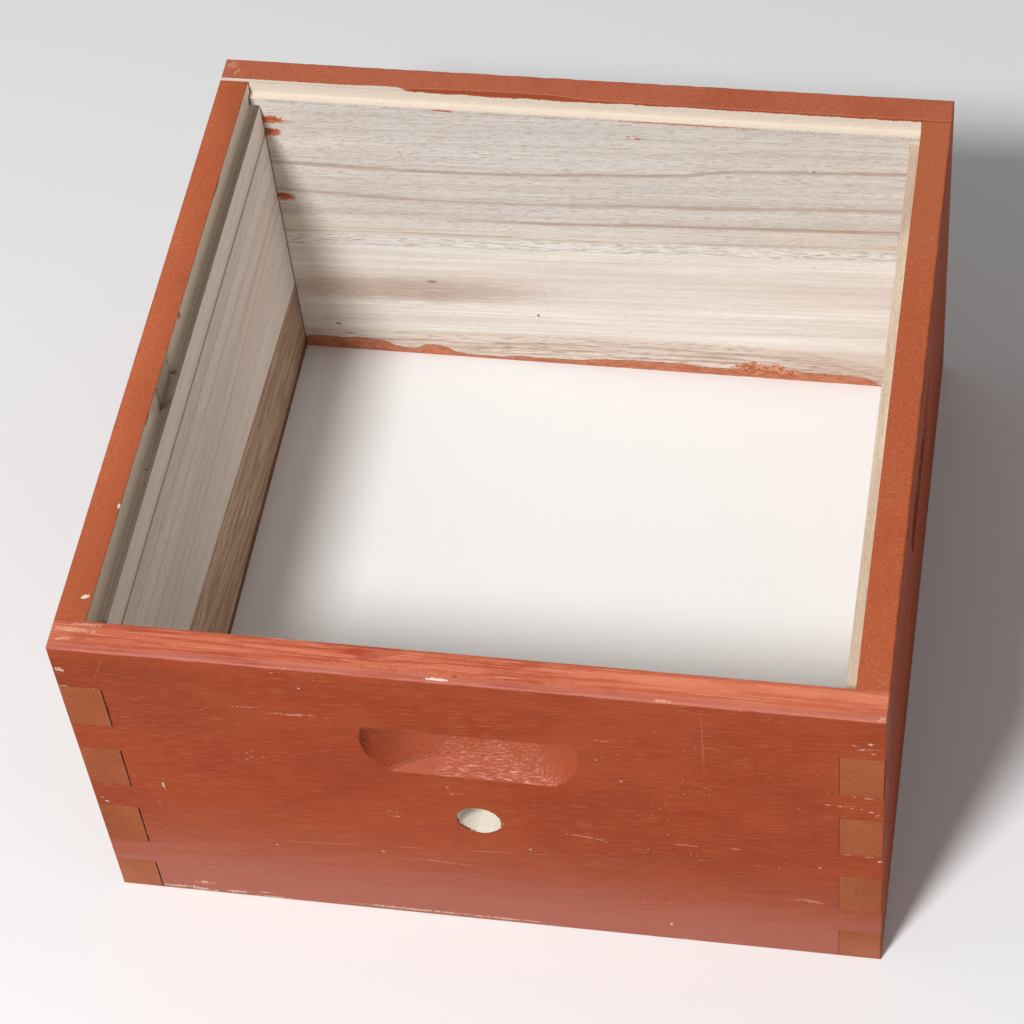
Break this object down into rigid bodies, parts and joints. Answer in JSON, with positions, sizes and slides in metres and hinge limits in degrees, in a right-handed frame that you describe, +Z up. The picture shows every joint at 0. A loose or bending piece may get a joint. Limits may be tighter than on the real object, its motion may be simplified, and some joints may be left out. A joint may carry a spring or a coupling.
{
  "type": "hive box",
  "caption": "Open square wooden hive box with comb-jointed corners, inner ledges for hanging frames, milled handholds and a round flight hole, painted outside and bare inside.",
  "frame": {"origin": "middle of the box on the surface that it stands on", "axes": "+X to the right, +Y from the front wall with the flight hole to the back wall, +Z up"},
  "size_m": [0.43, 0.432, 0.231],
  "materials": {
    "painted_wood": "brick red satin paint on the outside and the rim, bare planed wood inside"
  },
  "bodies": {
    "root": {"front_upper_board": "painted_wood", "front_lower_board": "painted_wood", "back_upper_board": "painted_wood", "back_lower_board": "painted_wood", "left_upper_board": "painted_wood", "left_lower_board": "painted_wood", "right_upper_board": "painted_wood", "right_lower_board": "painted_wood"}
  },
  "joints": []
}
